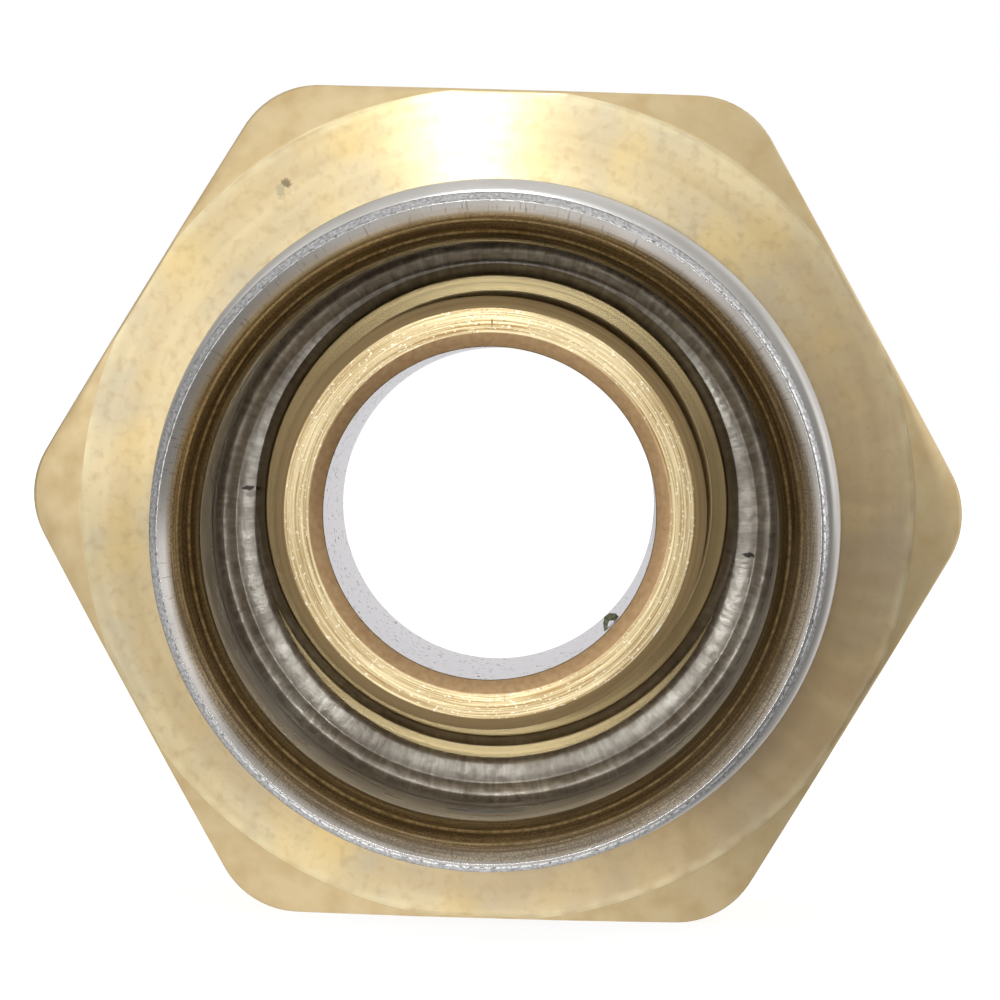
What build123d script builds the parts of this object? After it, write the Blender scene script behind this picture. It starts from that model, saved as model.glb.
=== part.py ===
from build123d import *
import math
import os

os.makedirs("parts", exist_ok=True)

# Press-type PEX to female pipe thread adapter, lying on one hexagon flat.
# The row frame has its origin where the common axis meets the front face of the hexagon.
# +Y runs along the axis to the female thread, -Y to the tube end, and +Z points up.
# Every profile is drawn on XY with the radius along X and the axis along Y.

# Hexagon, female end
across_flats = 25.4
hex_length = 17.5
hex_corner_radius = 2.6
hex_face_radius = 12.75
hex_chamfer_deg = 30

# Insert that the tube is pushed over
tip_y = -17.3
insert_radius = 6.27
tip_face_outer_radius = 5.92
tip_face_inner_radius = 5.2
tip_outer_chamfer_length = 0.96
rib_count = 5
rib_pitch = 2.65
rib_land = 1.15
rib_groove_depth = 0.42
rib_front_flank = 0.2
rib_back_flank = 0.42

# Tube stop and snap shoulder, with the neck groove that holds the sleeve behind it
stop_y = -2.3
stop_root_radius = 0.28
stop_face_radius = 7.03
shoulder_radius = 7.38
shoulder_back_y = -1.1

# Waterway, conical web and tapped chamber
bore_radius = 4.8
bore_end_y = 2.8
web_cone_deg = 118
thread_minor_radius = 9.15
thread_mouth_radius = 10.8

# Press sleeve, sheet metal
sheet = 0.5
mouth_sheet = 0.4
wall_radius = 8.45
mouth_y = -17.5
mouth_inner_radius = 9.55
mouth_deg = 51
throat_deg = 20
collar_radius = 10.44
collar_y = -4.2
collar_slit = 0.06
collar_bend_radius = 0.35
collar_fold_radius = 0.27
base_front_y = -0.9
base_corner_radius = 0.58
base_hole_radius = 7.2
base_edge_rounding = 0.2
window_radius = 1.25
window_y = -8.6
window_count = 3
first_window_deg = 30

# The sleeve hangs loose on the neck: its base hole clears the neck by the slack at the top
sleeve_drop = 0.54
hang_gap = 0.04
neck_radius = base_hole_radius - sleeve_drop - hang_gap


# Body: one turned brass piece. The hexagon bar is faced and chamfered at both ends by the
# same cone, so each face shows a round turned land that only just reaches the flats.
bar_radius = across_flats / math.sqrt(3) + 1
cone_drop = (bar_radius - hex_face_radius) * math.tan(math.radians(hex_chamfer_deg))

with BuildPart() as body:
    with BuildSketch(Plane.XZ):
        RegularPolygon(across_flats / 2, 6, major_radius=False)
    extrude(amount=-hex_length)
    fillet(body.edges().filter_by(Axis.Y), radius=hex_corner_radius)

    # Turned envelope of the bar
    with BuildSketch(Plane.XY):
        with BuildLine():
            Polyline(
                (0, 0),
                (hex_face_radius, 0),
                (bar_radius, cone_drop),
                (bar_radius, hex_length - cone_drop),
                (hex_face_radius, hex_length),
                (0, hex_length),
                close=True,
            )
        make_face()
    revolve(axis=Axis.Y, mode=Mode.INTERSECT)

    # Insert with its ribs, tube stop, snap shoulder and neck
    rib_floor = insert_radius - rib_groove_depth
    first_land_y = tip_y + tip_outer_chamfer_length
    nose = [(0, tip_y), (tip_face_outer_radius, tip_y), (insert_radius, first_land_y)]
    for rib in range(rib_count):
        land_end = first_land_y + rib * rib_pitch + rib_land
        next_land = first_land_y + (rib + 1) * rib_pitch
        nose.append((insert_radius, land_end))
        nose.append((rib_floor, land_end + rib_back_flank))
        nose.append((rib_floor, next_land - rib_front_flank))
        nose.append((insert_radius, next_land))
    nose += [
        (insert_radius, stop_y),
        (stop_face_radius, stop_y),
        (shoulder_radius, shoulder_back_y),
        (neck_radius, shoulder_back_y),
        (neck_radius, 0),
        (neck_radius, hex_length / 4),
        (0, hex_length / 4),
    ]
    with BuildSketch(Plane.XY) as nose_section:
        with BuildLine():
            Polyline(*nose, close=True)
        make_face()
        # The last land runs into the tube stop over the turning tool's own radius
        fillet(
            nose_section.vertices().sort_by_distance((insert_radius, stop_y))[0],
            radius=stop_root_radius,
        )
    revolve(axis=Axis.Y)

    # Waterway, drill-point web and tapped chamber, cut from both ends
    tip_inner_chamfer = tip_face_inner_radius - bore_radius
    cone_length = (thread_minor_radius - bore_radius) / math.tan(math.radians(web_cone_deg / 2))
    mouth_chamfer = thread_mouth_radius - thread_minor_radius
    with BuildSketch(Plane.XY):
        with BuildLine():
            Polyline(
                (0, tip_y),
                (tip_face_inner_radius, tip_y),
                (bore_radius, tip_y + tip_inner_chamfer),
                (bore_radius, bore_end_y),
                (thread_minor_radius, bore_end_y + cone_length),
                (thread_minor_radius, hex_length - mouth_chamfer),
                (thread_mouth_radius, hex_length),
                (0, hex_length),
                close=True,
            )
        make_face()
    revolve(axis=Axis.Y, mode=Mode.SUBTRACT)

body.part.label = "body"
export_step(body.part, "parts/body.step")


# Press sleeve: one sheet piece on its own axis, which has dropped by the slack in the groove.
# The mouth flares outward in an arc that meets the wall at a crease, and the sheet is stretched
# thinner there. Near the base the sheet is folded out and back on itself into the collar that
# the press tool sits on, and the base turns inward behind the body's shoulder.
flare_radius = (mouth_inner_radius - wall_radius) / (
    math.cos(math.radians(throat_deg)) - math.cos(math.radians(mouth_deg))
)
flare_centre = (
    mouth_inner_radius + flare_radius * math.cos(math.radians(mouth_deg)),
    mouth_y + flare_radius * math.sin(math.radians(mouth_deg)),
)
throat_y = flare_centre[1] - flare_radius * math.sin(math.radians(throat_deg))
wall_middle = wall_radius + sheet / 2
layer = (sheet + collar_slit) / 2
sleeve_axis = Axis((0, 0, -sleeve_drop), (0, 1, 0))

with BuildPart() as press_sleeve:
    with BuildSketch(Plane.XY.offset(-sleeve_drop)) as section:
        # Wall, folded collar and base as one bent strip of sheet
        with BuildLine() as strip:
            FilletPolyline(
                (wall_middle, throat_y),
                (wall_middle, collar_y - layer),
                (collar_radius - sheet / 2, collar_y - layer),
                (collar_radius - sheet / 2, collar_y + layer),
                (wall_middle, collar_y + layer),
                (wall_middle, base_front_y + sheet / 2),
                (base_hole_radius, base_front_y + sheet / 2),
                radius=(
                    collar_bend_radius,
                    collar_fold_radius,
                    collar_fold_radius,
                    collar_bend_radius,
                    base_corner_radius + sheet / 2,
                ),
            )
        trace(line_width=sheet)
        # Flare, between two arcs that draw together as the sheet thins towards the mouth
        with BuildLine():
            inner_arc = CenterArc(flare_centre, flare_radius, 180 + throat_deg, mouth_deg - throat_deg)
            outer_points = []
            for share in (0, 0.5, 1):
                point = inner_arc @ share
                inward = (Vector(*flare_centre) - point).normalized()
                outer_points.append(point + inward * (sheet + (mouth_sheet - sheet) * share))
            outer_arc = ThreePointArc(*outer_points)
            Line(inner_arc @ 0, outer_arc @ 0)
            Line(inner_arc @ 1, outer_arc @ 1)
        make_face()
        # Rounded edge of the base hole on the side that met the punch
        fillet(
            section.vertices().sort_by_distance((base_hole_radius, base_front_y))[0],
            radius=base_edge_rounding,
        )
    revolve(axis=sleeve_axis)

    # Inspection windows, punched through the wall at equal angles
    for window in range(window_count):
        angle = math.radians(first_window_deg + window * 360 / window_count)
        outward = (math.cos(angle), 0, math.sin(angle))
        with BuildSketch(Plane(origin=(0, window_y, -sleeve_drop), x_dir=(0, 1, 0), z_dir=outward)):
            Circle(window_radius)
        extrude(amount=collar_radius, mode=Mode.SUBTRACT)

press_sleeve.part.label = "press_sleeve"
export_step(press_sleeve.part, "parts/press_sleeve.step")
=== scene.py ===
import bpy
import bmesh
import math
import random
from mathutils import Matrix, Vector


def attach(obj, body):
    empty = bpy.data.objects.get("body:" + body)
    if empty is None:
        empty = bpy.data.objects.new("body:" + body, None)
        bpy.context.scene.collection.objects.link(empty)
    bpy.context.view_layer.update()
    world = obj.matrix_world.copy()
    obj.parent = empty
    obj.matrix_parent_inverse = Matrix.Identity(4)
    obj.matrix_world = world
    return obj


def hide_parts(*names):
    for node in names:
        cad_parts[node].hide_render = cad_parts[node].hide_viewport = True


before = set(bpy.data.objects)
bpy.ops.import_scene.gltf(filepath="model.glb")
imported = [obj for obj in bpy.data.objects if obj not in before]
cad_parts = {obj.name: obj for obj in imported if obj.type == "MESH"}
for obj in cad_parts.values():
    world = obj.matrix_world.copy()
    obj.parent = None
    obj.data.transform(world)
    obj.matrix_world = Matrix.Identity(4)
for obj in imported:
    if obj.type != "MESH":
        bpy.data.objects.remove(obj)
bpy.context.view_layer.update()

# BODY, SHAPE
# One brass piece turned from hexagon bar: the ribbed insert, the tube stop and snap shoulder, the
# neck, the hexagon and the tapped chamber. It lies on one flat and carries everything else.
MM = 0.001
FLAT = 12.7
CORNER = 2.61
LAND = 12.75
LENGTH = 17.5
FACE_FROM = 8.0
LEAST_CHAMFER = 0.07
COLUMNS = 360


def hexagon(angle):
    """Distance in mm from the axis to the outline of the rounded hexagon bar."""
    off = abs((angle - math.pi / 2 + math.pi / 6) % (math.pi / 3) - math.pi / 6)
    tangent = math.atan((FLAT - CORNER) * math.tan(math.pi / 6) / FLAT)
    if off <= tangent:
        return FLAT / math.cos(off)
    middle = (FLAT - CORNER) / math.cos(math.pi / 6)
    aside = math.pi / 6 - off
    return middle * math.cos(aside) + math.sqrt(CORNER**2 - (middle * math.sin(aside)) ** 2)


def softened(outline, steps=3):
    """Turns (radius, y, rounding, finish) corners into points with each corner rounded a little."""
    points = [(outline[0][0], outline[0][1], outline[0][3])]
    for before, here, after in zip(outline, outline[1:], outline[2:]):
        rounding = here[2]
        if not rounding:
            points.append((here[0], here[1], here[3]))
            continue
        for step in range(steps + 1):
            share = step / steps
            ends = []
            for other in (before, after):
                reach = math.hypot(other[0] - here[0], other[1] - here[1])
                part = min(rounding / reach, 0.45)
                ends.append([here[axis] + (other[axis] - here[axis]) * part for axis in (0, 1)])
            curve = []
            for first, middle, last in zip(ends[0], here, ends[1]):
                curve.append((1 - share) ** 2 * first + 2 * share * (1 - share) * middle + share**2 * last)
            points.append((curve[0], curve[1], here[3] if step == steps else before[3]))
    points.append((outline[-1][0], outline[-1][1], outline[-1][3]))
    return points


def turned(name, rings, finishes, body, columns=COLUMNS, drop=0.0):
    """A surface swept round the Y axis. Each ring is (radius, y, finish) or a function of the angle."""
    mesh = bpy.data.meshes.new(name)
    shape = bmesh.new()
    grid = []
    marks = []
    for ring in rings:
        row = []
        for column in range(columns):
            angle = 2 * math.pi * column / columns
            radius, y, finish = ring(angle) if callable(ring) else ring
            at = (radius * math.cos(angle) * MM, y * MM, (radius * math.sin(angle) - drop) * MM)
            row.append(shape.verts.new(at))
        grid.append(row)
        marks.append(finish)
    for near, far, finish in zip(grid, grid[1:], marks):
        for column in range(columns):
            beside = (column + 1) % columns
            face = shape.faces.new((near[column], near[beside], far[beside], far[column]))
            face.material_index = finishes.index(finish)
            face.smooth = True
    shape.to_mesh(mesh)
    shape.free()
    made = bpy.data.objects.new(name, mesh)
    bpy.context.scene.collection.objects.link(made)
    level = made.modifiers.new("weighted normals", "WEIGHTED_NORMAL")
    level.weight = 90
    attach(made, body)
    return made


CHAMBER = 9.15
WEB_END = 5.41
MOUTH = 10.8
THREAD_END = 17.3
BORE = 4.8
BORE_END = 2.8
CHAMFER_Y = -16.9
TIP_Y = -17.3
TIP_INNER = 5.2
TIP_OUTER = 5.92
LEAD_END = -16.34
INSERT = 6.27
RIB_FLOOR = 5.85
RIB_COUNT = 5
RIB_PITCH = 2.65
RIB_LAND = 1.15
RIB_FLANK = 0.42
STOP_Y = -2.3
STOP = 7.03
SHOULDER = 7.38
SHOULDER_Y = -1.1
NECK = 6.62
finishes = ["web", "bore", "chamfer", "tip", "lead", "barrel", "stop"]
finishes += ["shoulder", "neck", "face", "cone", "bar", "mouth"]
nose = [
    (CHAMBER, WEB_END, 0, "web"),
    (BORE, BORE_END, 0.04, "bore"),
    (BORE, CHAMFER_Y, 0.03, "chamfer"),
    (TIP_INNER, TIP_Y, 0.02, "tip"),
    (TIP_OUTER, TIP_Y, 0.02, "lead"),
    (INSERT, LEAD_END, 0.05, "barrel"),
]
for rib in range(RIB_COUNT):
    start = LEAD_END + rib * RIB_PITCH
    nose += [
        (INSERT, start + RIB_LAND, 0.12, "barrel"),
        (RIB_FLOOR, start + RIB_LAND + RIB_FLANK, 0.12, "barrel"),
        (RIB_FLOOR, start + RIB_PITCH - 0.2, 0.1, "barrel"),
        (INSERT, start + RIB_PITCH, 0.06, "barrel"),
    ]
nose += [
    (INSERT, STOP_Y, 0.28, "stop"),
    (STOP, STOP_Y, 0.06, "shoulder"),
    (SHOULDER, SHOULDER_Y, 0.06, "neck"),
    (NECK, SHOULDER_Y, 0.05, "neck"),
    (NECK, 0, 0.05, "stop"),
    (FACE_FROM, 0, 0, "face"),
]


def bar_ring(reach, depth, from_back, finish):
    """A ring on the hexagon: reach runs from the land (0) to the outline (1), depth is down the side."""

    def ring(angle):
        edge = hexagon(angle)
        land = min(LAND, edge - LEAST_CHAMFER)
        fall = max((edge - LAND) * math.tan(math.pi / 6), LEAST_CHAMFER)
        y = fall * reach + depth
        return land + (edge - land) * reach, LENGTH - y if from_back else y, finish

    return ring


def land_ring(share, y, finish):
    """A ring on the front face: share runs from where the nose ends (0) to the edge of the land (1)."""

    def ring(angle):
        land = min(LAND, hexagon(angle) - LEAST_CHAMFER)
        return FACE_FROM + (land - FACE_FROM) * share, y, finish

    return ring


rings = softened(nose)
rings += [land_ring(share, 0, "face") for share in (0.3, 0.6, 0.85, 0.97)]
rings += [bar_ring(reach, 0, False, "cone") for reach in (0, 0.06, 0.5, 0.94)]
rings += [bar_ring(1, depth, False, "bar") for depth in (0.03, 0.25, 3)]
rings += [bar_ring(1, depth, True, "bar") for depth in (3, 0.25)]
rings += [bar_ring(1, 0.03, True, "cone")]
rings += [bar_ring(reach, 0, True, "cone") for reach in (0.94, 0.5, 0.06)]
rings += [bar_ring(0, 0, True, "face"), (11.9, LENGTH, "face"), (MOUTH + 0.1, LENGTH, "face")]
rings += [(MOUTH, LENGTH - 0.02, "mouth"), (10.6, THREAD_END, "mouth")]
body = turned("brass_body", rings, finishes, "fitting")
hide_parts("body")


# BODY, PIPE THREAD
# The chamber is drilled straight and tapped with a taper tap, so the crests stay on the drilled
# wall while the roots come in with depth and run out before the web. Right-hand, 14 to the inch.
PITCH = 25.4 / 14
ROOT = 10.62
RUN_OUT_FROM = 6.2
RUN_OUT = 2.6
SINK_Y = 15.85
PER_TURN = 16
THREAD_COLUMNS = 240


def thread_radius(along, y):
    """Radius in mm at a place along the helix's own pitch and at that depth in the chamber."""
    away = abs((along / PITCH) % 1 - 0.5) * PITCH
    root = ROOT - (LENGTH - y) / 32
    full = min(1, max(0, (y - RUN_OUT_FROM) / RUN_OUT))
    root = CHAMBER + (root - CHAMBER) * full
    groove = max(CHAMBER, root - max(0, away - 0.05) * math.sqrt(3))
    return max(groove, CHAMBER + (y - SINK_Y))


mesh = bpy.data.meshes.new("pipe_thread")
shape = bmesh.new()
row_count = int((THREAD_END - WEB_END + PITCH) / PITCH * PER_TURN) + 2
grid = []
for row in range(row_count):
    line = []
    for column in range(THREAD_COLUMNS):
        angle = 2 * math.pi * column / THREAD_COLUMNS
        along = WEB_END - PITCH + row * PITCH / PER_TURN
        y = min(THREAD_END, max(WEB_END, along + PITCH * column / THREAD_COLUMNS))
        radius = thread_radius(along, y)
        at = (radius * math.cos(angle) * MM, y * MM, radius * math.sin(angle) * MM)
        line.append((shape.verts.new(at), y))
    grid.append(line)
for row in range(row_count - 1):
    for column in range(THREAD_COLUMNS):
        beside = (column + 1) % THREAD_COLUMNS
        step = PER_TURN if beside == 0 else 0
        if row + 1 + step >= row_count:
            continue
        corners = [grid[row][column], grid[row + step][beside]]
        corners += [grid[row + 1 + step][beside], grid[row + 1][column]]
        heights = [corner[1] for corner in corners]
        if max(heights) == WEB_END or min(heights) == THREAD_END:
            continue
        face = shape.faces.new([corner[0] for corner in corners])
        face.smooth = True
bmesh.ops.delete(shape, geom=[vert for vert in shape.verts if not vert.link_faces], context="VERTS")
shape.to_mesh(mesh)
shape.free()
mesh.set_sharp_from_angle(angle=math.radians(28))
thread = bpy.data.objects.new("pipe_thread", mesh)
bpy.context.scene.collection.objects.link(thread)
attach(thread, "fitting")


# BODY, BRASS FINISHES
# Lead-free yellow brass, bare. The end faces keep the circular tool marks that fan the light out
# from the axis, the bar flats keep their long drawn lines, and the bore is smooth enough to mirror.
def linear(code):
    """sRGB hex colour to a linear RGBA colour."""
    parts = []
    for at in (1, 3, 5):
        part = int(code[at : at + 2], 16) / 255
        parts.append(part / 12.92 if part <= 0.04045 else ((part + 0.055) / 1.055) ** 2.4)
    return (*parts, 1.0)


def add(tree, kind, inputs=None, **settings):
    """Adds a node, sets its properties, and fills or links its inputs."""
    made = tree.nodes.new(kind)
    for name, value in settings.items():
        setattr(made, name, value)
    for name, value in (inputs or {}).items():
        if isinstance(value, bpy.types.NodeSocket):
            tree.links.new(value, made.inputs[name])
        else:
            made.inputs[name].default_value = value
    return made


def metal(name):
    """A new metal material, with its node tree and its shader."""
    made = bpy.data.materials.new(name)
    made.use_nodes = True
    tree = made.node_tree
    tree.nodes.clear()
    shader = add(tree, "ShaderNodeBsdfPrincipled", {"Metallic": 1.0})
    add(tree, "ShaderNodeOutputMaterial", {"Surface": shader.outputs["BSDF"]})
    return made, tree, shader


def around(tree, drop=0.0):
    """Radius in metres, outward direction, and length in metres along the axis, as three sockets."""
    place = add(tree, "ShaderNodeTexCoord").outputs["Object"]
    moved = add(tree, "ShaderNodeVectorMath", {0: place, 1: (0, 0, drop * MM)}, operation="ADD")
    across = add(tree, "ShaderNodeVectorMath", {0: moved.outputs[0], 1: (1, 0, 1)}, operation="MULTIPLY")
    radius = add(tree, "ShaderNodeVectorMath", {0: across.outputs[0]}, operation="LENGTH").outputs["Value"]
    outward = add(tree, "ShaderNodeVectorMath", {0: across.outputs[0]}, operation="NORMALIZE").outputs[0]
    length = add(tree, "ShaderNodeSeparateXYZ", {"Vector": moved.outputs[0]}).outputs["Y"]
    return radius, outward, length


def marks(tree, across, outward, pitch_mm, changes, detail=2.0, roughness=0.6):
    """Ring marks: noise of a pitch in mm across them that changes a few times on the way round."""
    pitch = add(tree, "ShaderNodeMath", {0: across, 1: 1 / (pitch_mm * MM)}, operation="MULTIPLY")
    lift = add(tree, "ShaderNodeCombineXYZ", {"Y": pitch.outputs[0]})
    where = add(
        tree,
        "ShaderNodeVectorMath",
        {0: outward, 1: (changes, changes, changes), 2: lift.outputs[0]},
        operation="MULTIPLY_ADD",
    )
    noise = add(
        tree,
        "ShaderNodeTexNoise",
        {"Vector": where.outputs[0], "Scale": 1.0, "Detail": detail, "Roughness": roughness},
    )
    return noise.outputs["Fac"]


def between(tree, value, low, high, to_low, to_high):
    """Maps a value from one range to another, clamped."""
    made = add(
        tree,
        "ShaderNodeMapRange",
        {"Value": value, "From Min": low, "From Max": high, "To Min": to_low, "To Max": to_high},
    )
    return made.outputs["Result"]


def blended(tree, share, first, second):
    """Mixes two colours by a share."""
    made = add(tree, "ShaderNodeMix", {"Factor": share}, data_type="RGBA")
    for socket, value in ((made.inputs[6], first), (made.inputs[7], second)):
        if isinstance(value, bpy.types.NodeSocket):
            tree.links.new(value, socket)
        else:
            socket.default_value = value
    return made.outputs[2]


def ridged(tree, shader, height, depth_um, strength=1.0, under=None):
    """Bump of a real depth in micrometres, over the normal of another bump if one is given."""
    inputs = {"Height": height, "Distance": depth_um * 1e-6, "Strength": strength}
    if under is not None:
        inputs["Normal"] = under
    bump = add(tree, "ShaderNodeBump", inputs)
    tree.links.new(bump.outputs["Normal"], shader.inputs["Normal"])
    return bump.outputs["Normal"]


def grains(tree, size_mm, detail=3.0, stretch=(1, 1, 1)):
    """Noise of a real grain size, which can be stretched along the axes of the part."""
    place = add(tree, "ShaderNodeTexCoord").outputs["Object"]
    factors = tuple(1 / (size_mm * MM * share) for share in stretch)
    scaled = add(tree, "ShaderNodeVectorMath", {0: place, 1: factors}, operation="MULTIPLY")
    return add(
        tree, "ShaderNodeTexNoise", {"Vector": scaled.outputs[0], "Scale": 1.0, "Detail": detail}
    ).outputs["Fac"]


def leaned(tree, shader, radius, slope, under):
    """Tilts the surface outward by a slope, as the saw-tooth marks of a facing tool do."""
    tilt = add(tree, "ShaderNodeBump", {"Height": radius, "Distance": slope, "Normal": under}, invert=True)
    tree.links.new(tilt.outputs["Normal"], shader.inputs["Normal"])


def spot(tree, at, size, turn=0.0):
    """A worn or dirty spot: share 1 inside a frayed ellipse with its centre and size in mm."""
    place = add(tree, "ShaderNodeTexCoord").outputs["Object"]
    inputs = {"Vector": place, "Rotation": (0, math.radians(turn), 0)}
    inputs["Location"] = tuple(part * MM for part in at)
    inputs["Scale"] = tuple(part * MM / 2 for part in size)
    near = add(tree, "ShaderNodeMapping", inputs, vector_type="TEXTURE")
    reach = add(tree, "ShaderNodeVectorMath", {0: near.outputs[0]}, operation="LENGTH").outputs["Value"]
    frayed = add(tree, "ShaderNodeMath", {0: reach, 1: grains(tree, 0.08, 0.0)}, operation="ADD").outputs[0]
    return between(tree, frayed, 1.1, 1.5, 1, 0)


BRASS = linear("#F0DDB2")
BRASS_DULL = linear("#DCC496")
BRASS_GREY = linear("#DACFB8")

# Turned end face: circular tool marks about 0.1 mm apart spread the light across themselves only,
# so each lamp is drawn out into a fan from the axis. Grey and brown handling patches lie over it,
# the side at the lower right is painted darker as shade, and the rim of the land has a painted highlight.
turned_face, tree, shader = metal("brass_turned_face")
radius, outward, length = around(tree)
fine = marks(tree, radius, outward, 0.12, 0.6)
coarse = marks(tree, radius, outward, 0.7, 0.9)
patches = grains(tree, 2.2, 2.0)
tone = blended(tree, between(tree, coarse, 0.3, 0.7, 0, 0.9), BRASS, BRASS_DULL)
tone = blended(tree, between(tree, patches, 0.45, 0.7, 0, 0.5), tone, BRASS_GREY)
stains = between(tree, grains(tree, 3.0, 2.0), 0.5, 0.68, 0, 0.6)
tone = blended(tree, stains, tone, linear("#F2D592"))
tone = blended(tree, between(tree, grains(tree, 0.35, 2.0), 0.5, 0.72, 0, 0.4), tone, linear("#C8A878"))
# Painted shade: the lower right of the face is darkened, broken into radial streaks
shade_way = add(tree, "ShaderNodeVectorMath", {0: outward, 1: (0.85, 0, -0.52)}, operation="DOT_PRODUCT")
dull = between(tree, shade_way.outputs["Value"], 0.1, 0.95, 0, 0.8)
streaky = between(tree, marks(tree, radius, outward, 3.0, 14.0, 1.0), 0.35, 0.65, 0.6, 1)
dull = add(tree, "ShaderNodeMath", {0: dull, 1: streaky}, operation="MULTIPLY").outputs[0]
tone = blended(tree, dull, tone, linear("#C8AC86"))
# Painted highlight: a speckled pale band along the rim of the land
worn = between(tree, grains(tree, 0.8, 1.0), 0.35, 0.6, 0.15, 0.7)
rim = between(tree, radius, 12.4 * MM, 12.74 * MM, 0, 1)
worn = add(tree, "ShaderNodeMath", {0: worn, 1: rim}, operation="MULTIPLY")
tone = blended(tree, worn.outputs[0], tone, linear("#FFF0C4"))
tone = blended(tree, spot(tree, (-6.74, 0, 9.65), (0.4, 9, 0.3), 20.0), tone, linear("#988A6C"))
tone = blended(tree, spot(tree, (-6.9, 0, 9.4), (0.3, 9, 0.5)), tone, linear("#C9BA96"))
tree.links.new(tone, shader.inputs["Base Color"])
tree.links.new(between(tree, patches, 0.3, 0.7, 0.3, 0.37), shader.inputs["Roughness"])
shader.inputs["Anisotropic"].default_value = 1.0
tree.links.new(outward, shader.inputs["Tangent"])
leaned(tree, shader, radius, 0.19, ridged(tree, shader, fine, 2.0))

# Faced insert tip: deeper marks, each catching the light by itself, with short painted highlights
# along them and nicks from handling
tip_face, tree, shader = metal("brass_faced_tip")
radius, outward, length = around(tree)
fine = marks(tree, radius, outward, 0.055, 1.3, 3.0, 0.75)
# Painted highlight: short bright dashes along the marks
painted_glints = between(tree, marks(tree, radius, outward, 0.08, 45.0, 1.0), 0.62, 0.7, 0, 0.7)
nicks = between(tree, grains(tree, 0.12, 1.0), 0.64, 0.7, 0, 1)
tone = blended(tree, between(tree, fine, 0.35, 0.65, 0, 1), linear("#F7E5B8"), linear("#A58250"))
tone = blended(tree, painted_glints, tone, linear("#FFF8E0"))
tone = blended(tree, spot(tree, (-0.08, -17.3, 5.5), (0.05, 9, 0.3)), tone, linear("#8F774E"))
tone = blended(tree, spot(tree, (4.95, -17.3, -3.2), (0.08, 9, 0.6), 35.0), tone, linear("#FFF6DC"))
tree.links.new(tone, shader.inputs["Base Color"])
shader.inputs["Roughness"].default_value = 0.33
shader.inputs["Anisotropic"].default_value = 0.75
tree.links.new(outward, shader.inputs["Tangent"])
ridged(tree, shader, nicks, 6.0, 0.8, ridged(tree, shader, fine, 10.0))

# Turned barrel, ribs and neck: marks run round, so highlights run along
barrel, tree, shader = metal("brass_turned_barrel")
radius, outward, length = around(tree)
fine = marks(tree, length, outward, 0.06, 0.6)
tone = blended(tree, between(tree, fine, 0.3, 0.7, 0, 1), BRASS, BRASS_DULL)
tree.links.new(tone, shader.inputs["Base Color"])
shader.inputs["Roughness"].default_value = 0.3
ridged(tree, shader, fine, 1.0)

# Drilled web: cutter marks running round, a little deeper in colour than the turned faces
web, tree, shader = metal("brass_drilled_web")
radius, outward, length = around(tree)
fine = marks(tree, radius, outward, 0.15, 0.8)
tone = blended(tree, between(tree, fine, 0.3, 0.7, 0, 0.7), BRASS_DULL, linear("#C4A56E"))
tree.links.new(tone, shader.inputs["Base Color"])
shader.inputs["Roughness"].default_value = 0.32
ridged(tree, shader, fine, 1.5)

# Tapped thread: crests painted bright as highlights, roots painted dark brown as shade
tapped, tree, shader = metal("brass_tapped_thread")
radius, outward, length = around(tree)
fine = marks(tree, radius, outward, 0.12, 1.5)
tone = blended(tree, between(tree, fine, 0.35, 0.7, 0, 0.5), linear("#D6BB86"), linear("#BC9C64"))
# Painted shade in the roots of the thread
tone = blended(tree, between(tree, radius, 9.5 * MM, 10.3 * MM, 0, 0.85), tone, linear("#7A5F36"))
# Painted highlight on the crests
tone = blended(tree, between(tree, radius, 9.18 * MM, 9.3 * MM, 0.9, 0), tone, linear("#F5E3B6"))
tree.links.new(tone, shader.inputs["Base Color"])
shader.inputs["Roughness"].default_value = 0.26
ridged(tree, shader, fine, 1.0)

# Tube stop and snap shoulder: turned smooth, deep in the sleeve where only soft light reaches, so
# its brass is painted darker as shade, with painted highlights above and below
stop, tree, shader = metal("brass_turned_stop")
radius, outward, length = around(tree)
fine = marks(tree, radius, outward, 0.1, 0.6)
# Painted light: pale brass at the top and bottom as highlights, darker brown at the sides as shade
lit_top_and_bottom = add(tree, "ShaderNodeVectorMath", {0: outward, 1: (0.15, 0, 1)}, operation="DOT_PRODUCT")
lit_top_and_bottom = add(tree, "ShaderNodeMath", {0: lit_top_and_bottom.outputs["Value"]}, operation="ABSOLUTE").outputs[0]
tone = blended(tree, between(tree, lit_top_and_bottom, 0.45, 0.98, 0, 1), linear("#A6926B"), linear("#D6C294"))
tone = blended(tree, between(tree, fine, 0.3, 0.7, 0, 0.5), tone, linear("#8F7A56"))
tree.links.new(tone, shader.inputs["Base Color"])
shader.inputs["Roughness"].default_value = 0.24
shader.inputs["Anisotropic"].default_value = 0.85
tree.links.new(outward, shader.inputs["Tangent"])
ridged(tree, shader, fine, 0.8)

# Inner chamfer, cut by a form tool and slightly tarnished, so it stays brown beside the bright tip
chamfer, tree, shader = metal("brass_cut_chamfer")
radius, outward, length = around(tree)
fine = marks(tree, radius, outward, 0.08, 0.9)
specks = grains(tree, 0.2)
tone = blended(tree, between(tree, specks, 0.3, 0.8, 0, 1), linear("#D8B88E"), linear("#C29E76"))
tree.links.new(tone, shader.inputs["Base Color"])
shader.inputs["Roughness"].default_value = 0.55
ridged(tree, shader, fine, 1.2)

# Lead-in of the insert: a slow taper that the tube is started on, dull from the cutting
lead, tree, shader = metal("brass_cut_lead_in")
radius, outward, length = around(tree)
fine = marks(tree, radius, outward, 0.09, 0.7)
tone = blended(tree, between(tree, fine, 0.35, 0.65, 0, 1), BRASS_DULL, linear("#C9AE7E"))
tree.links.new(tone, shader.inputs["Base Color"])
shader.inputs["Roughness"].default_value = 0.45
shader.inputs["Metallic"].default_value = 0.8
ridged(tree, shader, fine, 3.0)

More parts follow.
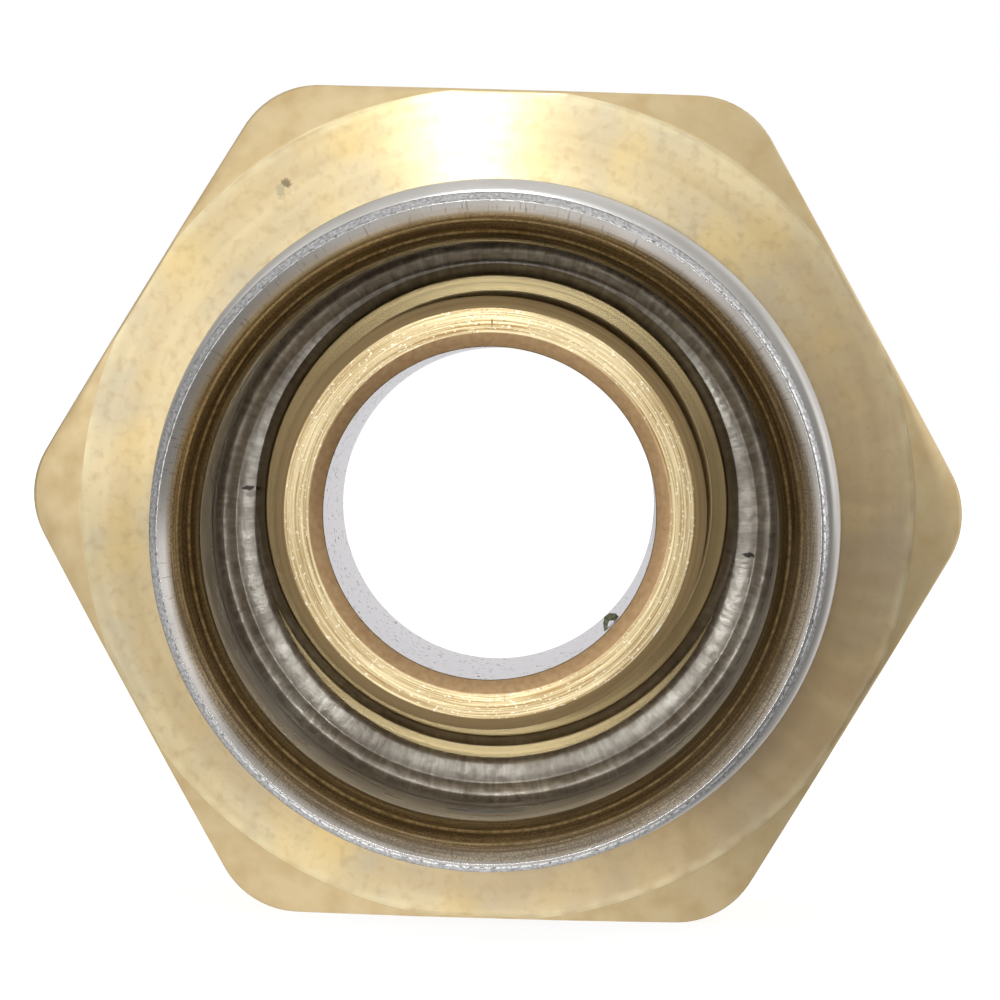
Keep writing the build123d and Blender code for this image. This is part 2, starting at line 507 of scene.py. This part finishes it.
# Cut corners: the ends of the bar are chamfered on the same lathe but stay dull and a little spotted
corner, tree, shader = metal("brass_cut_corner")
radius, outward, length = around(tree)
fine = marks(tree, radius, outward, 0.15, 0.8)
mottle = grains(tree, 0.9, 2.0)
tone = blended(tree, between(tree, mottle, 0.35, 0.75, 0, 1), linear("#E0CA9E"), linear("#D3B98A"))
tree.links.new(tone, shader.inputs["Base Color"])
tree.links.new(between(tree, mottle, 0.3, 0.7, 0.4, 0.5), shader.inputs["Roughness"])
ridged(tree, shader, fine, 1.0)

# Drawn bar flats: long lines along the axis from the drawing die, darker than what was cut, with
# slow cloudy patches of handling
bar, tree, shader = metal("brass_drawn_bar")
drawn = grains(tree, 0.12, 3.0, (1, 60, 1))
mottle = grains(tree, 3.0, 3.0, (1, 2, 1))
tone = blended(tree, between(tree, mottle, 0.35, 0.75, 0, 0.5), linear("#DCC28C"), linear("#C6A86E"))
tone = blended(tree, between(tree, drawn, 0.4, 0.65, 0, 0.45), tone, linear("#BF9F64"))
tree.links.new(tone, shader.inputs["Base Color"])
tree.links.new(between(tree, drawn, 0.3, 0.7, 0.34, 0.44), shader.inputs["Roughness"])
ridged(tree, shader, drawn, 1.6)

# Reamed bore: nearly a mirror at the low angle it is seen at, cooler there, with dark specks of dirt
bore, tree, shader = metal("brass_reamed_bore")
radius, outward, length = around(tree)
fine = marks(tree, length, outward, 0.4, 1.5, 1.0)
dirt = between(tree, grains(tree, 0.14, 1.0, (1, 3, 1)), 0.68, 0.72, 0, 1)
tone = blended(tree, dirt, linear("#EBDDBA"), linear("#3C4236"))
tree.links.new(tone, shader.inputs["Base Color"])
edge_tint = blended(tree, dirt, linear("#D5D8EC"), linear("#3C4236"))
tree.links.new(edge_tint, shader.inputs["Specular Tint"])
tree.links.new(between(tree, dirt, 0, 1, 1, 0), shader.inputs["Metallic"])
tree.links.new(between(tree, dirt, 0, 1, 0.5, 0), shader.inputs["Specular IOR Level"])
tree.links.new(between(tree, dirt, 0, 1, 0.2, 0.9), shader.inputs["Roughness"])
ridged(tree, shader, fine, 0.5)

by_finish = {
    "web": web,
    "bore": bore,
    "chamfer": chamfer,
    "tip": tip_face,
    "lead": lead,
    "barrel": barrel,
    "stop": stop,
    "shoulder": stop,
    "neck": barrel,
    "face": turned_face,
    "cone": corner,
    "bar": bar,
    "mouth": chamfer,
}
for finish in finishes:
    body.data.materials.append(by_finish[finish])
thread.data.materials.append(tapped)


# CHIP IN THE BORE
# A curl of swarf left from the boring, gone olive, that clings to the wall just inside the tip. It
# is loose dirt as the photograph shows it, and the body carries it.
CHIP_Y = -14.0
CHIP_LONG = 0.3
CHIP_SLANT = 0.06
CHIP_HALF = (0.05, 0.07, 0.09, 0.11, 0.1, 0.05)
# Where the curl runs: degrees round the axis and distance from it
curl = [(-44.6, 4.83), (-42.9, 4.68), (-41.3, 4.6), (-39.9, 4.64), (-38.8, 4.75), (-38.6, 4.84)]
mesh = bpy.data.meshes.new("bore_chip")
shape = bmesh.new()
places = []
for turn, reach in curl:
    places.append((reach * math.cos(math.radians(turn)), reach * math.sin(math.radians(turn))))
stations = []
for index, half in enumerate(CHIP_HALF):
    before, after = places[max(index - 1, 0)], places[min(index + 1, len(curl) - 1)]
    run = math.hypot(after[0] - before[0], after[1] - before[1])
    side = ((before[1] - after[1]) / run * half, (after[0] - before[0]) / run * half)
    station = []
    for sign, y in ((1, CHIP_Y), (-1, CHIP_Y), (-1, CHIP_Y + CHIP_LONG), (1, CHIP_Y + CHIP_LONG)):
        at = (places[index][0] + sign * side[0], y + CHIP_SLANT * index, places[index][1] + sign * side[1])
        station.append(shape.verts.new([part * MM for part in at]))
    stations.append(station)
for first, second in zip(stations, stations[1:]):
    for corner in range(4):
        beside = (corner + 1) % 4
        shape.faces.new((first[corner], second[corner], second[beside], first[beside]))
shape.faces.new(stations[0])
shape.faces.new(stations[-1][::-1])
bmesh.ops.recalc_face_normals(shape, faces=shape.faces)
shape.to_mesh(mesh)
shape.free()
chip = bpy.data.objects.new("bore_chip", mesh)
bpy.context.scene.collection.objects.link(chip)
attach(chip, "fitting")
swarf, tree, shader = metal("brass_swarf_tarnished")
grain = grains(tree, 0.08, 2.0)
tone = blended(tree, between(tree, grain, 0.35, 0.65, 0, 1), linear("#4E5140"), linear("#7D7F66"))
tree.links.new(tone, shader.inputs["Base Color"])
tree.links.new(between(tree, grain, 0.3, 0.7, 0.4, 0.7), shader.inputs["Roughness"])
shader.inputs["Metallic"].default_value = 0.2
ridged(tree, shader, grain, 20.0)
chip.data.materials.append(swarf)


# PRESS SLEEVE, SHAPE
# Drawn stainless sheet, half a millimetre thick, flared at the mouth and folded out and back on
# itself into the collar that locates the press tool. Its base is turned in behind the shoulder,
# so it hangs loose on the neck, 0.54 mm low.
SHEET = 0.5
MOUTH_SHEET = 0.4
THROAT = 8.38
WALL = 8.52
DROP = 0.54
MOUTH_Y = -17.5
COLLAR = 10.44
COLLAR_Y = -4.2
LAYER = 0.28
FOLD_BEND = 0.35
FLARE_FROM, FLARE_TO = math.radians(20), math.radians(51)
FLARE_IN = 9.55
flare = (FLARE_IN - THROAT) / (math.cos(FLARE_FROM) - math.cos(FLARE_TO))
flare_at = (FLARE_IN + flare * math.cos(FLARE_TO), MOUTH_Y + flare * math.sin(FLARE_TO))


def flare_point(turn, depth=0.0):
    """A point on the flare where the sheet leans by that angle, from inside (depth 0) to outside (1)."""
    share = (turn - FLARE_FROM) / (FLARE_TO - FLARE_FROM)
    reach = flare - depth * (SHEET + (MOUTH_SHEET - SHEET) * share)
    return flare_at[0] - reach * math.cos(turn), flare_at[1] - reach * math.sin(turn)


def wall_at(y):
    """Inside radius of the wall, which widens a little from the throat to the fold."""
    throat_y = flare_point(FLARE_FROM)[1]
    fold_y = COLLAR_Y - LAYER - FOLD_BEND
    return THROAT + (WALL - THROAT) * (y - throat_y) / (fold_y - throat_y)


def bend(centre, reach, start, end, steps, finish):
    """Points round a bend in the sheet, with angles in degrees in the radius and length plane."""
    points = []
    for step in range(steps + 1):
        turn = math.radians(start + (end - start) * step / steps)
        points.append((centre[0] + reach * math.cos(turn), centre[1] + reach * math.sin(turn), finish))
    return points


CORNER_BEND = 0.62
INNER_BEND = 0.22
BASE_Y = -0.9
BASE_FROM = -2.6
HOLE = 7.2
HOLE_ROUND = 0.2
WINDOW_Y = -8.6
WINDOW = 1.25
STEP = 2 * math.pi * (WALL + SHEET / 2) / COLUMNS
PATCH = 12
band = [WINDOW_Y + (index - PATCH) * STEP for index in range(2 * PATCH + 1)]
sleeve_finishes = ["flare", "wall", "fold", "base", "window", "outside", "collar"]
FLARE_STEPS = 14
inside = []
for step in range(FLARE_STEPS + 1):
    inside.append((*flare_point(FLARE_TO + (FLARE_FROM - FLARE_TO) * step / FLARE_STEPS), "flare"))
inside[-1] = (*inside[-1][:2], "wall")
inside += [(wall_at(y), y, "wall") for y in (inside[-1][1] + 0.05, -14.0, -11.6)]
inner_band = len(inside)
inside += [(wall_at(y), y, "wall") for y in band + [-5.6]]
inside += bend((WALL + 0.6, COLLAR_Y - LAYER - FOLD_BEND), 0.6, 180, 90, 6, "fold")
inside += [(COLLAR - SHEET, COLLAR_Y - 0.03, "fold"), (COLLAR - SHEET, COLLAR_Y + 0.03, "fold")]
inside += bend((WALL + 0.6, COLLAR_Y + LAYER + FOLD_BEND), 0.6, 270, 180, 6, "fold")
inside += [(WALL, BASE_FROM, "base")]
inside += bend((WALL - INNER_BEND, -0.92 - INNER_BEND), INNER_BEND, 0, 84, 7, "base")
inside += [(8.02, -0.93, "base"), (7.98, -0.89, "base"), (7.93, BASE_Y, "base"), (7.7, BASE_Y, "base")]
inside += bend((HOLE + HOLE_ROUND, BASE_Y + HOLE_ROUND), HOLE_ROUND, 270, 180, 4, "base")
outside = [(HOLE, -0.42, "outside"), (7.22, -0.4, "outside"), (7.6, -0.4, "outside")]
outside += bend((WALL - CORNER_BEND, BASE_Y - CORNER_BEND), CORNER_BEND + SHEET, 90, 0, 10, "outside")
outside += [(WALL + SHEET, BASE_FROM, "outside"), (WALL + SHEET, COLLAR_Y + LAYER + FOLD_BEND, "outside")]
outside += bend((WALL + SHEET + 0.1, COLLAR_Y + LAYER + FOLD_BEND), 0.1, 180, 270, 3, "collar")
outside += [(COLLAR - 0.6, COLLAR_Y + LAYER + 0.25, "collar")]
outside += bend((COLLAR - 0.53, COLLAR_Y), 0.53, 90, -90, 14, "collar")
outside += bend((WALL + SHEET + 0.1, COLLAR_Y - LAYER - FOLD_BEND), 0.1, 90, 180, 3, "collar")
outside[-1] = (*outside[-1][:2], "outside")
outside += [(WALL + SHEET, -5.6, "outside")]
outer_band = len(inside) + len(outside)
outside += [(wall_at(y) + SHEET, y, "outside") for y in [*reversed(band), -11.6, -14.0]]
FLARE_BACK_STEPS = 12
for step in range(FLARE_BACK_STEPS + 1):
    turn = FLARE_FROM + (FLARE_TO - FLARE_FROM) * step / FLARE_BACK_STEPS
    outside.append((*flare_point(turn, 1), "outside"))
sleeve = turned("press_sleeve_sheet", inside + outside, sleeve_finishes, "sleeve", drop=DROP)
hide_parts("press_sleeve")

# Inspection windows: each replaces a square patch of the grid, which has a column for each degree,
# by rings that close in on a circle
WINDOW_RINGS = 7
border = [(PATCH, row) for row in range(-PATCH, PATCH)]
border += [(-column, PATCH) for column in range(-PATCH, PATCH)]
border += [(-PATCH, -row) for row in range(-PATCH, PATCH)]
border += [(column, -PATCH) for column in range(-PATCH, PATCH)]
shape = bmesh.new()
shape.from_mesh(sleeve.data)
points = list(shape.verts)
cells = list(shape.faces)
gone = []
for middle in (30, 150, 270):
    loops = []
    for start, thick in ((inner_band, 0), (outer_band, SHEET)):
        flip = start == outer_band
        for row in range(2 * PATCH):
            for column in range(-PATCH, PATCH):
                gone.append(cells[(start + row) * COLUMNS + (middle + column) % COLUMNS])
        rims = []
        for ring in range(WINDOW_RINGS + 1):
            share = ring / WINDOW_RINGS
            line = []
            for column, row in border:
                if ring == 0:
                    at = row + PATCH if not flip else PATCH - row
                    line.append(points[(start + at) * COLUMNS + (middle + column) % COLUMNS])
                    continue
                distance = math.hypot(column, row)
                scale = (1 - share) + share * WINDOW / (STEP * distance)
                turn = math.radians(middle) + column * scale * STEP / (WALL + SHEET / 2)
                y = WINDOW_Y + row * scale * STEP
                reach = wall_at(y) + thick
                at = (reach * math.cos(turn) * MM, y * MM, (reach * math.sin(turn) - DROP) * MM)
                line.append(shape.verts.new(at))
            rims.append(line)
        for first, second in zip(rims, rims[1:]):
            for at in range(len(border)):
                beside = (at + 1) % len(border)
                corners = (first[at], first[beside], second[beside], second[at])
                face = shape.faces.new(corners[::-1] if flip else corners)
                face.smooth = True
                face.material_index = sleeve_finishes.index("outside" if flip else "wall")
        loops.append(rims[-1])
    for at in range(len(loops[0])):
        beside = (at + 1) % len(loops[0])
        face = shape.faces.new((loops[0][at], loops[0][beside], loops[1][beside], loops[1][at]))
        face.material_index = sleeve_finishes.index("window")
bmesh.ops.delete(shape, geom=gone, context="FACES")
shape.to_mesh(sleeve.data)
shape.free()


# PRESS SLEEVE, CUT EDGE
# The sheet is sheared at the mouth and never dressed: a bright ragged burr stands on the inner
# edge, and the cut face outside it is torn and dull silver.
random.seed(7)
EDGE_COLUMNS = 1440
ragged = [0.0] * EDGE_COLUMNS
for size, count in ((0.5, 12), (0.35, 60), (0.5, 400), (0.6, 900)):
    heights = [random.uniform(-1, 1) for _ in range(count)]
    for column in range(EDGE_COLUMNS):
        place = column * count / EDGE_COLUMNS
        share = place - int(place)
        share = share * share * (3 - 2 * share)
        here, there = heights[int(place)], heights[(int(place) + 1) % count]
        ragged[column] += size * (here * (1 - share) + there * share)
inner_edge = flare_point(FLARE_TO)
outer_edge = flare_point(FLARE_TO, 1)


def edge_ring(share, lift, ragging, finish, shift=0.0):
    """A ring across the cut face, lifted off it in mm. Share runs from the inner (0) to the outer edge (1).

    The shift rolls it outward, most at the lower right.
    """

    def ring(angle):
        rough = ragged[round(angle / (2 * math.pi) * EDGE_COLUMNS) % EDGE_COLUMNS] * ragging
        out = share + rough * 0.4 + shift * (0.5 - 0.5 * math.cos(angle - math.radians(135)))
        radius = inner_edge[0] + (outer_edge[0] - inner_edge[0]) * out
        y = inner_edge[1] + (outer_edge[1] - inner_edge[1]) * out - lift * (1 + rough) + 0.025
        return radius, max(y, MOUTH_Y + 0.001), finish

    return ring


edge_finishes = ["rolled", "burr", "torn"]
edge_rings = [
    edge_ring(-0.03, -0.05, 0, "rolled"),
    edge_ring(0.0, 0.005, 0.03, "rolled"),
    edge_ring(0.03, 0.005, 0.05, "burr", 0.4),
    edge_ring(0.09, 0.025, 0.08, "burr", 0.45),
    edge_ring(0.17, 0.02, 0.08, "burr", 0.45),
    edge_ring(0.24, 0.002, 0.06, "torn", 0.42),
    edge_ring(0.45, 0.004, 0.08, "torn", 0.3),
    edge_ring(0.65, 0.004, 0.08, "torn", 0.2),
    edge_ring(0.85, 0.002, 0.05, "torn", 0.08),
    edge_ring(0.97, 0.0, 0.03, "torn"),
    edge_ring(1.02, -0.03, 0, "torn"),
]
edge = turned("press_sleeve_cut_edge", edge_rings, edge_finishes, "sleeve", EDGE_COLUMNS, DROP)


# PRESS SLEEVE, STEEL FINISHES
# Austenitic stainless, warm grey. The drawn wall is smooth with faint rings, the flare carries the
# punch's ring marks, and the crimped base is patchy from being pressed round the shoulder.
STEEL = linear("#CCC8C3")
STEEL_DARK = linear("#A8A29B")


def steel(name, rough, ring_mm, depth_um, by_length=False, metallic=1.0, pale=STEEL):
    """Stainless with ring marks of a pitch and depth, and soft patches of a duller tone.

    A metallic share under 1 stands for the dull film that drawing leaves on the sheet.
    """
    made, tree, shader = metal(name)
    shader.inputs["Metallic"].default_value = metallic
    radius, outward, length = around(tree, DROP)
    fine = marks(tree, length if by_length else radius, outward, ring_mm, 0.8, 1.0)
    patches = grains(tree, 2.5, 2.0)
    tone = blended(tree, between(tree, patches, 0.4, 0.7, 0, 0.35), pale, STEEL_DARK)
    tree.links.new(tone, shader.inputs["Base Color"])
    tree.links.new(between(tree, patches, 0.3, 0.7, rough * 0.85, rough * 1.2), shader.inputs["Roughness"])
    under = ridged(tree, shader, fine, depth_um)
    return made, tree, shader, radius, outward, tone, under


# Flared mouth: ring marks of the punch, two of them painted bright as highlights on small ridges, a
# painted brown reflection of the brass insert between the throat and the edge, and short dark
# scratches across the marks
flare_steel, tree, shader, radius, outward, tone, under = steel("stainless_flared_mouth", 0.26, 0.06, 3.0)
rubbed = marks(tree, radius, outward, 0.4, 70.0, 0.0)
# Painted reflection: brown brass between the throat and the edge, reaching further out at the lower right
low = add(tree, "ShaderNodeVectorMath", {0: outward, 1: (0.0001, 0, -0.00017)}, operation="DOT_PRODUCT")
edge_of_reflection = add(tree, "ShaderNodeMath", {0: radius, 1: low.outputs["Value"]}, operation="SUBTRACT")
film = between(tree, edge_of_reflection.outputs[0], 9.27 * MM, 9.45 * MM, 1.0, 0.0)
thick = between(tree, low.outputs["Value"], -0.00015, 0.00018, 0.96, 0.88)
film = add(tree, "ShaderNodeMath", {0: film, 1: thick}, operation="MULTIPLY").outputs[0]
lines = marks(tree, radius, outward, 0.05, 2.5, 2.0, 0.7)
reflected_brass = blended(tree, between(tree, lines, 0.35, 0.65, 0, 1), linear("#B4A58B"), linear("#6C5F4C"))
reflected_brass = blended(tree, between(tree, grains(tree, 0.06, 1.0), 0.4, 0.65, 0, 0.7), reflected_brass, linear("#5A4E3F"))
tone = blended(tree, film, tone, reflected_brass)
ticks = between(tree, marks(tree, radius, outward, 0.5, 110.0, 1.0), 0.62, 0.72, 0, 0.6)
near_edge = between(tree, radius, 8.9 * MM, 9.3 * MM, 0, 0.6)
ticks = add(tree, "ShaderNodeMath", {0: ticks, 1: near_edge}, operation="MULTIPLY")
tone = blended(tree, ticks.outputs[0], tone, linear("#6B5E50"))
# Painted highlights: two bright lines on small ridges of the flare, broken along their length
for ring_mm, glint in ((8.68, 1.0), (9.0, 0.4)):
    apart = add(tree, "ShaderNodeMath", {0: radius, 1: ring_mm * MM}, operation="SUBTRACT")
    apart = add(tree, "ShaderNodeMath", {0: apart.outputs[0]}, operation="ABSOLUTE").outputs[0]
    line = between(tree, apart, 0.01 * MM, 0.05 * MM, glint, 0)
    broken = between(tree, rubbed, 0.35, 0.65, 1, 0.55)
    line = add(tree, "ShaderNodeMath", {0: line, 1: broken}, operation="MULTIPLY")
    tone = blended(tree, line.outputs[0], tone, linear("#FBF1D8"))
    under = ridged(tree, shader, line.outputs[0], 9.0, 1.0, under)
tree.links.new(tone, shader.inputs["Base Color"])

# Inside wall and the fold behind it: faint rings from the drawing under a dull pale film, so they
# shine softly and show little of what stands round them
wall_steel = steel("stainless_drawn_wall", 0.3, 0.3, 1.5, True, 0.45, linear("#F2EBDF"))[0]
fold_steel = steel("stainless_fold", 0.3, 0.2, 1.5, True, 0.5, linear("#F2EBDF"))[0]

# Punched windows: the sheared side of each hole is rough and grey, with no clear reflection
window_steel = steel("stainless_punched_window", 0.6, 0.2, 3.0, False, 0.6)[0]

# Outside wall, rolled edge and collar: smoothed by the die, with fine rings round them, so long soft
# highlights run along the sleeve
outside_steel = steel("stainless_drawn_outside", 0.24, 0.25, 1.0, True)[0]
collar_steel = steel("stainless_collar", 0.28, 0.2, 1.0)[0]

# Crimped base: pressed in behind the shoulder, which left bright and dark streaks from the centre
crimped = steel("stainless_crimped_base", 0.3, 0.3, 1.0, False, 0.45)
base_steel, tree, shader, radius, outward, tone, under = crimped
streaks = marks(tree, radius, outward, 0.9, 45.0, 2.0, 0.6)
broad = marks(tree, radius, outward, 2.0, 5.0, 1.0)
pressed = grains(tree, 0.3, 2.0)
tone = blended(tree, between(tree, streaks, 0.35, 0.65, 0, 0.5), linear("#FFF8EC"), linear("#B5A897"))
tone = blended(tree, between(tree, pressed, 0.45, 0.65, 0, 0.5), tone, linear("#A39584"))
tone = blended(tree, between(tree, broad, 0.45, 0.7, 0, 0.4), tone, linear("#998C7E"))
for at, size in (((-7.62, 0, 0.3), (0.5, 9, 0.16)), ((7.7, 0, -1.32), (0.5, 9, 0.2))):
    tone = blended(tree, spot(tree, at, size), tone, linear("#4A443E"))
tree.links.new(tone, shader.inputs["Base Color"])
ridged(tree, shader, pressed, 12.0, 1.0, ridged(tree, shader, streaks, 12.0, 1.0, under))
for finish in (flare_steel, wall_steel, fold_steel, base_steel, window_steel, outside_steel, collar_steel):
    sleeve.data.materials.append(finish)

# Sheared edge: torn grain that glitters
torn, tree, shader = metal("stainless_sheared_edge")
grain = grains(tree, 0.09, 2.0)
tone = blended(tree, between(tree, grain, 0.35, 0.65, 0, 1), linear("#A5A3A2"), linear("#D5D4D4"))
tree.links.new(tone, shader.inputs["Base Color"])
shader.inputs["Roughness"].default_value = 0.42
ridged(tree, shader, grain, 7.0)

# Burr along the inner side of the edge: bright, broken into short glints, with painted shade at the upper
# left
burr, tree, shader = metal("stainless_burr")
radius, outward, length = around(tree, DROP)
grain = grains(tree, 0.12, 3.0)
tone = blended(tree, between(tree, grain, 0.38, 0.54, 0, 1), linear("#9A9896"), linear("#FBFBFB"))
# Painted shade: the burr is darkened toward the upper left
low = add(tree, "ShaderNodeVectorMath", {0: outward, 1: (0.7, 0, -0.7)}, operation="DOT_PRODUCT")
shaded = between(tree, low.outputs["Value"], -0.7, 0.1, 0.55, 0)
tone = blended(tree, shaded, tone, linear("#6E6C6A"))
tree.links.new(tone, shader.inputs["Base Color"])
shader.inputs["Roughness"].default_value = 0.25
ridged(tree, shader, grain, 11.0)
for finish in (outside_steel, burr, torn):
    edge.data.materials.append(finish)


# STAGE, FLOOR
# Pale sweep that the fitting lies on. Seen by the camera and in reflections it is nearly white,
# with a greyer stretch in front on the right that the lower faces mirror, and it keeps the soft
# shadow under the hexagon and the sleeve.
mesh = bpy.data.meshes.new("floor")
reach = 1.5
corners = []
for x, y in ((-reach, -reach), (reach, -reach), (reach, reach), (-reach, reach)):
    corners.append((x, y, -FLAT * MM))
mesh.from_pydata(corners, [], [(0, 1, 2, 3)])
floor = bpy.data.objects.new("floor", mesh)
bpy.context.scene.collection.objects.link(floor)
paper = bpy.data.materials.new("white_sweep")
paper.use_nodes = True
tree = paper.node_tree
tree.nodes.clear()
rays = add(tree, "ShaderNodeLightPath")
to_camera = rays.outputs["Is Camera Ray"]
glossy = rays.outputs["Is Glossy Ray"]
through = rays.outputs["Is Transmission Ray"]
place = add(tree, "ShaderNodeSeparateXYZ", {"Vector": add(tree, "ShaderNodeTexCoord").outputs["Object"]})
left = between(tree, place.outputs["X"], -0.016, -0.005, 0.75, 1.0)
right = between(tree, place.outputs["X"], 0.0, 0.012, 1.0, 0.3)
sideways = add(tree, "ShaderNodeMath", {0: left, 1: right}, operation="MULTIPLY").outputs[0]
forward = between(tree, place.outputs["Y"], -0.01, 0.02, 0.0, 1.0)
aside = between(tree, place.outputs["X"], -0.12, -0.03, 0.45, 1.0)
mirrored = add(tree, "ShaderNodeMix", {0: forward, 2: sideways, 3: aside}, data_type="FLOAT").outputs[0]
shiny = add(tree, "ShaderNodeMath", {0: glossy, 1: through}, operation="MAXIMUM").outputs[0]
level = add(tree, "ShaderNodeMix", {0: to_camera, 2: mirrored, 3: 0.85}, data_type="FLOAT").outputs[0]
seen = add(tree, "ShaderNodeMath", {0: shiny, 1: to_camera}, operation="MAXIMUM").outputs[0]
level = add(tree, "ShaderNodeMath", {0: level, 1: seen}, operation="MULTIPLY").outputs[0]
colour = blended(tree, to_camera, linear("#F4F4F4"), linear("#969696"))
colour = blended(tree, shiny, colour, (0, 0, 0, 1))
matte = add(tree, "ShaderNodeBsdfDiffuse", {"Color": colour})
glow = add(tree, "ShaderNodeEmission", {"Color": (1, 1, 1, 1), "Strength": level})
both = add(tree, "ShaderNodeAddShader", {0: matte.outputs[0], 1: glow.outputs[0]})
add(tree, "ShaderNodeOutputMaterial", {"Surface": both.outputs[0]})
floor.data.materials.append(paper)


# STAGE, LIGHT
# A white room seen from the front: white straight behind the fitting, greyer round it and behind
# the camera. Three small panels stand behind the lens, one high up, one just over it and one just
# left of it, and draw the bright fans on the turned faces. Two wide soft ones light the sides.
world = bpy.data.worlds.new("studio")
bpy.context.scene.world = world
world.use_nodes = True
tree = world.node_tree
tree.nodes.clear()
towards = add(tree, "ShaderNodeTexCoord").outputs["Generated"]
slant = add(tree, "ShaderNodeVectorMath", {0: towards, 1: (-0.6, 0, 0.3)}, operation="DOT_PRODUCT")
open_front = add(tree, "ShaderNodeMath", {0: slant.outputs["Value"], 1: 0.78}, operation="ADD").outputs[0]
open_front = add(tree, "ShaderNodeMath", {0: open_front, 1: 1.0}, operation="MINIMUM").outputs[0]
dark_way = add(tree, "ShaderNodeVectorMath", {0: towards, 1: (0.5, -0.84, -0.22)}, operation="DOT_PRODUCT")
dark = between(tree, dark_way.outputs["Value"], 0.82, 0.97, 0, 1)
front = add(tree, "ShaderNodeMix", {0: dark, 2: open_front, 3: 0.26}, data_type="FLOAT").outputs[0]
along = add(tree, "ShaderNodeSeparateXYZ", {"Vector": towards}).outputs["Y"]
depth = between(tree, along, -0.3, 0.2, 0.0, 1.0)
side = add(tree, "ShaderNodeVectorMath", {0: towards, 1: (0.4, 0, 0.35)}, operation="DOT_PRODUCT")
side = between(tree, side.outputs["Value"], -0.3, 0.25, 0.35, 0.95)
straight = between(tree, along, 0.85, 0.94, 0, 1)
behind = add(tree, "ShaderNodeMix", {0: straight, 2: side, 3: 1.0}, data_type="FLOAT").outputs[0]
level = add(tree, "ShaderNodeMix", {0: depth, 2: front, 3: behind}, data_type="FLOAT").outputs[0]
rays = add(tree, "ShaderNodeLightPath")
room = add(tree, "ShaderNodeCombineColor", {"Red": level, "Green": level, "Blue": level})
even = blended(tree, rays.outputs["Is Diffuse Ray"], room.outputs[0], (0.95, 0.95, 0.96, 1))
seen = blended(tree, rays.outputs["Is Camera Ray"], even, (1, 1, 1, 1))
light = add(tree, "ShaderNodeBackground", {"Color": seen, "Strength": 1.0})
add(tree, "ShaderNodeOutputWorld", {"Surface": light.outputs[0]})


def panel(name, at, wide, tall, level, tint=(1, 1, 1)):
    """A soft panel at a place in metres, aimed at the fitting. At level 1 it looks white."""
    lamp = bpy.data.lights.new(name, "AREA")
    lamp.shape = "RECTANGLE"
    lamp.size = wide
    lamp.size_y = tall
    lamp.energy = level * math.pi * wide * tall
    lamp.color = tint
    holder = bpy.data.objects.new(name, lamp)
    bpy.context.scene.collection.objects.link(holder)
    holder.location = at
    holder.rotation_euler = holder.location.normalized().to_track_quat("Z", "Y").to_euler()


panel("panel_above", (-0.035, -0.48, 0.275), 0.045, 0.2, 15.0, (0.85, 0.94, 1.0))
panel("panel_front", (-0.004, -0.49, 0.042), 0.025, 0.05, 18.0, (0.9, 0.96, 1.0))
panel("panel_left", (-0.5, -0.35, 0.08), 0.4, 0.5, 0.5)
panel("panel_low", (-0.016, -0.49, 0.002), 0.05, 0.024, 6.0)
panel("panel_right", (0.55, -0.1, 0.15), 0.3, 0.4, 0.8)


# STAGE, CAMERA
# A long lens, nearly on the axis of the fitting, from a little above and to the right, as the
# rings in the photograph show it. It is turned so that the hexagon stands 1.6 degrees clockwise.
camera_data = bpy.data.cameras.new("camera")
camera = bpy.data.objects.new("camera", camera_data)
bpy.context.scene.collection.objects.link(camera)
camera_data.sensor_width = 36
camera_data.lens = 338.67
camera_data.clip_start = 0.01
stand = (0.00366645, -0.2880681, 0.00450721)
aim = (0.00029296, -0.01728946, 0.00039517)
camera.location = stand
looking = Vector([there - here for there, here in zip(aim, stand)])
turn = looking.to_track_quat("-Z", "Y").to_matrix().to_4x4()
camera.rotation_euler = (turn @ Matrix.Rotation(math.radians(1.6), 4, "Z")).to_euler()
bpy.context.scene.camera = camera
bpy.context.scene.view_settings.view_transform = "Standard"
